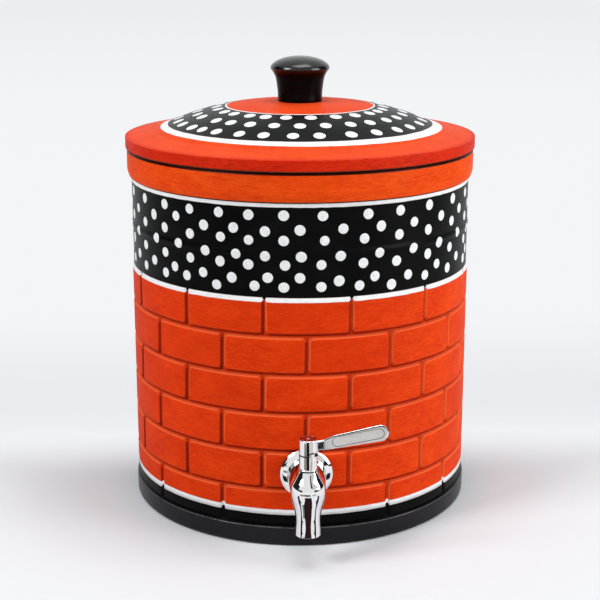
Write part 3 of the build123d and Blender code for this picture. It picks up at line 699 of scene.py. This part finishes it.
dress(chrome, "lever_handle")
shank_frame = Matrix.Translation((0, 0, tap_h)) @ Matrix.Rotation(math.radians(90), 4, "X")
valve_frame = Matrix.Translation((0, -valve_reach, 0))
spout_shape = turned(in_mm([
    (9.45, 25.1, 0.35), (9.5, 30, 0), (8.98, 37, 0), (9.66, 43.2, 0), (11.3, 48.8, 0), (12.9, 54.5, 0),
    (13.05, 59.3, 0), (12.6, 63.8, 0), (10.6, 67.3, 0), (7.8, 71.2, 0), (6.6, 75.1, 0.12), (7.15, 75.3, 0.08),
    (7.15, 76.1, 0.15), (6.7, 76.6, 0.2), (6.7, 86.8, 0.15), (4.05, 86.8, 0.1), (4.05, 68, 0.1),
    (6.55, 68, 0.1), (6.55, 49.5, 0.1), (7, 49.5, 0.1), (7, 25.1, 0.3)]), 40)
bmesh.ops.transform(spout_shape, matrix=valve_frame, verts=spout_shape.verts[:])
spout_surface = BVHTree.FromBMesh(spout_shape)

# The barrel is coped to the bulb: its front edges run on until they are just inside the bulb's skin.
barrel_shape = turned(in_mm([
    (5.5, 108.5, 0.3), (9.48, 108.5, 0.1), (10.48, 109.5, 0.1), (10.48, 140.4, 0), (14.6, 140.4, 0.8),
    (13.6, 155, 0), (12.75, 158, 0), (5.5, 158, 0)]), 96)
bmesh.ops.transform(barrel_shape, matrix=shank_frame, verts=barrel_shape.verts[:])
for vert in barrel_shape.verts:
    if vert.co.y < -157 * mm:
        point = spout_surface.ray_cast(vert.co, Vector((0, -1, 0)))[0]
        vert.co.y = point.y - 0.3 * mm if point else -valve_reach

lug_steps = 6
lug_shape = bmesh.new()
lug_ends = []
for step in range(lug_steps + 1):
    turn = math.radians(lug_start + (lug_end - lug_start) * step / lug_steps)
    lug_ends.append([
        lug_shape.verts.new((reach * math.sin(turn), -valve_reach - reach * math.cos(turn), height))
        for reach, height in in_mm([(5.55, 86.4), (6.7, 86.4), (6.7, 89.1), (5.55, 89.1)])])
for end, after in zip(lug_ends, lug_ends[1:]):
    for corner in range(4):
        around = (corner + 1) % 4
        lug_shape.faces.new((end[corner], end[around], after[around], after[corner]))
lug_shape.faces.new(lug_ends[0])
lug_shape.faces.new(lug_ends[-1])
bmesh.ops.recalc_face_normals(lug_shape, faces=lug_shape.faces[:])

dish_shape = turned(in_mm([
    (10.78, 136.6, 0.1), (19.7, 136.6, 0.15), (19.7, 137.6, 0.3), (18.1, 139.0, 0.6), (14.6, 140.4, 0.2),
    (10.78, 140.4, 0.1)]), 64)
bmesh.ops.transform(dish_shape, matrix=shank_frame, verts=dish_shape.verts[:])

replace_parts(finished(spout_shape, "tap_spout", "jar", chrome, smoothing=2), "tap_body")
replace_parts(finished(barrel_shape, "tap_barrel", "jar", chrome, sharp_angle=35), "tap_body")
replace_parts(finished(lug_shape, "tap_stop_lug", "jar", chrome, sharp_angle=35), "tap_body")
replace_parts(finished(dish_shape, "tap_dish", "jar", chrome, smoothing=1), "tap_escutcheon")


# The cap on the lever's boss: dark red plastic pressed into its bore, over the lever's screw.

red_plastic = Finish("red_plastic")
red_mottle = red_plastic.noise(1.5 * mm, 1.5 * mm, 2)
from_middle = (
    red_plastic.x * red_plastic.x + (red_plastic.y + valve_reach) * (red_plastic.y + valve_reach)) ** 0.5
# The cap's pale eye is a painted highlight, and its dark inner ring and dark rim are painted reflections.
highlight_eye = 1 - red_plastic.rise(from_middle, 0.8 * mm, 1.4 * mm)
reflected_dark_ring = red_plastic.rise(from_middle, 2.9 * mm, 3.2 * mm) - red_plastic.rise(
    from_middle, 3.6 * mm, 3.9 * mm)
reflected_rim = red_plastic.rise(from_middle, 4.9 * mm, 5.2 * mm)
red = red_plastic.blend(red_mottle, (0.17, 0.005, 0.005, 1), (0.26, 0.010, 0.009, 1))
red = red_plastic.blend(reflected_dark_ring, red, (0.022, 0.010, 0.016, 1))
red = red_plastic.blend(highlight_eye, red, (0.62, 0.46, 0.42, 1))
red_plastic.shaded({
    "Base Color": red_plastic.blend(reflected_rim, red, (0.05, 0.006, 0.006, 1)),
    "Roughness": 0.16 + red_mottle * 0.1,
    "Coat Weight": 1,
    "Normal": red_plastic.bump(highlight_eye - reflected_dark_ring + red_mottle * 0.1, 0.25 * mm),
})
dress(red_plastic, "index_cap")


# The small parts inside: a brass valve stem, rubber and silicone rings, a nylon thrust washer, steel
# washers, nut and screws. They show only through the mouth, from below or when the tap is taken apart.

brass = Finish("turned_brass")
brass_rings = brass.noise(30 * mm, 0.25 * mm, 2)
brass.shaded({
    "Base Color": brass.blend(brass_rings, (0.62, 0.42, 0.16, 1), (0.80, 0.60, 0.28, 1)),
    "Metallic": 1,
    "Roughness": 0.22 + brass_rings * 0.2,
    "Normal": brass.bump(brass_rings, 0.03 * mm),
})
dress(brass, "valve_stem")

steel = Finish("bright_steel")
steel_grain = steel.noise(2.5 * mm, 0.5 * mm, 3)
steel.shaded({
    "Base Color": steel.blend(steel_grain, (0.50, 0.50, 0.51, 1), (0.68, 0.68, 0.70, 1)),
    "Metallic": 1,
    "Roughness": 0.28 + steel_grain * 0.22,
    "Normal": steel.bump(steel_grain, 0.02 * mm),
})
dress(steel, "shank_nut", "inner_washer", "knob_washer", "knob_screw", "lever_screw")

rubber = Finish("black_rubber")
rubber_grain = rubber.noise(0.8 * mm, 0.8 * mm, 3)
rubber.shaded({
    "Base Color": rubber.blend(rubber_grain, (0.012, 0.012, 0.012, 1), (0.035, 0.034, 0.033, 1)),
    "Roughness": 0.6 + rubber_grain * 0.25,
    "Normal": rubber.bump(rubber_grain, 0.08 * mm),
})
dress(rubber, "outer_gasket", "inner_gasket", "knob_rubber_washer", "stem_o_ring_lower", "stem_o_ring_upper")

silicone = Finish("white_silicone")
silicone_grain = silicone.noise(1 * mm, 1 * mm, 2)
silicone.shaded({
    "Base Color": silicone.blend(silicone_grain, (0.66, 0.66, 0.64, 1), (0.76, 0.76, 0.74, 1)),
    "Roughness": 0.5 + silicone_grain * 0.15,
    "Normal": silicone.bump(silicone_grain, 0.04 * mm),
})
dress(silicone, "seat_seal", "thrust_washer")


# The studio: a pale floor that runs back out of sight, a small soft light high at the left in front, larger
# ones at the right and above, and cards low in front of the tap and at the sides that only gloss shows.


def stage_piece(name, shape, finish):
    """Make the shape part of the studio, not of the jar."""
    mesh = bpy.data.meshes.new(name)
    shape.to_mesh(mesh)
    shape.free()
    mesh.materials.append(finish.material)
    thing = bpy.data.objects.new(name, mesh)
    bpy.context.scene.collection.objects.link(thing)
    return thing


def seen_rays(finish):
    """1 for the rays that show the studio: straight to the camera, off gloss and through glass."""
    path = finish.node("LightPath", {}, {}, "Is Camera Ray")
    return finish.maths("MAXIMUM", path, finish.maths(
        "MAXIMUM", path.other("Is Glossy Ray"), path.other("Is Transmission Ray")))


pale = Finish("pale_floor")
away = (pale.x * pale.x + pale.y * pale.y) ** 0.5
far = pale.maths("MAXIMUM", pale.rise(away, 0.18, 0.42), pale.rise(pale.y, 0.0, 0.12))
floor_tone = pale.blend(pale.rise(pale.y, 0.02, 0.20), (0.94, 0.945, 0.965, 1), (0.82, 0.83, 0.855, 1))
floor_tone = pale.blend(pale.rise(pale.y, 0.20, 0.55), floor_tone, (0.895, 0.91, 0.925, 1))
floor_tone = pale.blend(pale.rise(away, 1.5, 7), floor_tone, (0.84, 0.85, 0.87, 1))
matt = pale.node("BsdfDiffuse", {}, {"Color": (0.73, 0.765, 0.795, 1)})
glow = pale.node("Emission", {}, {"Color": floor_tone, "Strength": 1})
pale.close(pale.node("MixShader", {}, {0: far * seen_rays(pale), 1: matt, 2: glow}))
floor_shape = bmesh.new()
bmesh.ops.create_grid(floor_shape, x_segments=1, y_segments=1, size=20)
stage_piece("floor", floor_shape, pale)

studio = Finish("studio", "World")
ambient = studio.node("Background", {}, {"Color": (0.98, 0.99, 1.0, 1), "Strength": 0.22})
backdrop = studio.node("Background", {}, {"Color": (0.84, 0.85, 0.865, 1), "Strength": 1})
studio.close(studio.node("MixShader", {}, {0: seen_rays(studio), 1: ambient, 2: backdrop}))
bpy.context.scene.world = studio.material


def gloss_card(name, corners, tone):
    """A matt card that only gloss shows: no camera, light or shadow meets it."""
    card_tone = Finish(name)
    card_tone.close(card_tone.node("Emission", {}, {"Color": (*tone, 1), "Strength": 1}))
    shape = bmesh.new()
    bmesh.ops.contextual_create(shape, geom=[shape.verts.new(corner) for corner in corners])
    card = stage_piece(name, shape, card_tone)
    card.visible_camera = False
    card.visible_diffuse = False
    card.visible_transmission = False
    card.visible_shadow = False


def floor_card(name, rows, height, tone):
    """A card that lies in front of the tap. Each row is a distance from its valve and two angles."""
    corners = [(reach, start) for reach, start, end in rows]
    corners += [(reach, end) for reach, start, end in reversed(rows)]
    gloss_card(name, [
        (reach * math.sin(math.radians(turn)), -valve_reach - reach * math.cos(math.radians(turn)), height)
        for reach, turn in corners], tone)


# The cards on the floor give the bulb, the boss and the housing their bands, the upright ones shade the
# dish, the paddle and its edge, and the two tall ones stand for the dark ends of the room.
card_black = (0.015, 0.015, 0.015)
sides = ((-1, "left"), (1, "right"))
floor_card(
    "card_centre", [(0.03, -36, 30), (0.05, -34, 28), (0.09, -24, 22), (0.15, -22, 18)], 3 * mm, card_black)
floor_card("card_boss", [(0.19, -22, 13), (0.27, -20, 12)], 3 * mm, card_black)
floor_card("card_grey", [(0.19, -54, -22), (0.27, -52, -20)], 2 * mm, (0.26, 0.25, 0.22))
floor_card("card_tan", [(0.19, 24, 50), (0.27, 22, 48)], 2 * mm, (0.50, 0.44, 0.36))
floor_card("card_red", [(0.03, 3, 12), (0.09, -2, 5), (0.15, -9, -3)], 4 * mm, (0.07, 0.006, 0.006))
floor_card("card_near", [(0.03, -52, -30), (0.06, -46, -26)], 2 * mm, (0.20, 0.21, 0.22))
for side, name in sides:
    rows = [(0.03, 74, 60), (0.05, 68, 58), (0.07, 54, 46), (0.095, 70, 54), (0.13, 72, 58), (0.17, 68, 58)]
    floor_card("card_line_" + name, [(reach, side * start, side * end) for reach, start, end in rows],
               2 * mm, card_black)
    gloss_card("card_dish_" + name, [
        (side * 0.62, -0.96, 0.002), (side * 0.91, -0.58, 0.002), (side * 0.91, -0.58, 0.2),
        (side * 0.62, -0.96, 0.2)], card_black)
gloss_card("card_paddle", [
    (0.0147, -0.200, 0.070), (0.085, -0.200, 0.082), (0.085, -0.200, 0.106), (0.0147, -0.200, 0.092)],
    (0.66, 0.64, 0.62))
gloss_card("card_edge", [
    (0.018, -0.230, 0.090), (0.075, -0.230, 0.090), (0.075, -0.230, 0.126), (0.018, -0.230, 0.126)],
    card_black)
for side, name in sides:
    gloss_card(
        "card_" + name, [
            (side * 1.9, -1.0, 0.0), (side * 1.9, 1.2, 0.0), (side * 1.9, 1.2, 1.9), (side * 1.9, -1.0, 1.9)],
        card_black)


def soft_light(name, place, aim, width, height, power):
    """A rectangular soft light aimed at a point."""
    data = bpy.data.lights.new(name, "AREA")
    data.shape = "RECTANGLE"
    data.size = width
    data.size_y = height
    data.energy = power
    lamp = bpy.data.objects.new(name, data)
    bpy.context.scene.collection.objects.link(lamp)
    lamp.location = place
    lamp.rotation_mode = "QUATERNION"
    lamp.rotation_quaternion = (Vector(aim) - Vector(place)).to_track_quat("-Z", "Y")


lit_point = (0, 0, 0.2)
soft_light("key", (-1.0, -0.65, 1.0), lit_point, 0.45, 0.45, 11.5)
soft_light("fill", (1.2, -0.6, 0.6), lit_point, 0.7, 0.9, 13.5)
soft_light("top", (0.1, -0.15, 1.6), lit_point, 0.9, 0.7, 10.6)

camera_away = 1.11186
camera_up = 0.45239
camera_dip_degrees = 14.91
camera_turn = math.radians(photo_turn)
camera_data = bpy.data.cameras.new("camera")
camera_data.lens = 84.14
camera_data.sensor_width = 36
camera = bpy.data.objects.new("camera", camera_data)
bpy.context.scene.collection.objects.link(camera)
camera.location = (-camera_away * math.sin(camera_turn), -camera_away * math.cos(camera_turn), camera_up)
camera.rotation_euler = (math.radians(90 - camera_dip_degrees), 0, -camera_turn)
bpy.context.scene.camera = camera
bpy.context.scene.view_settings.view_transform = "Standard"
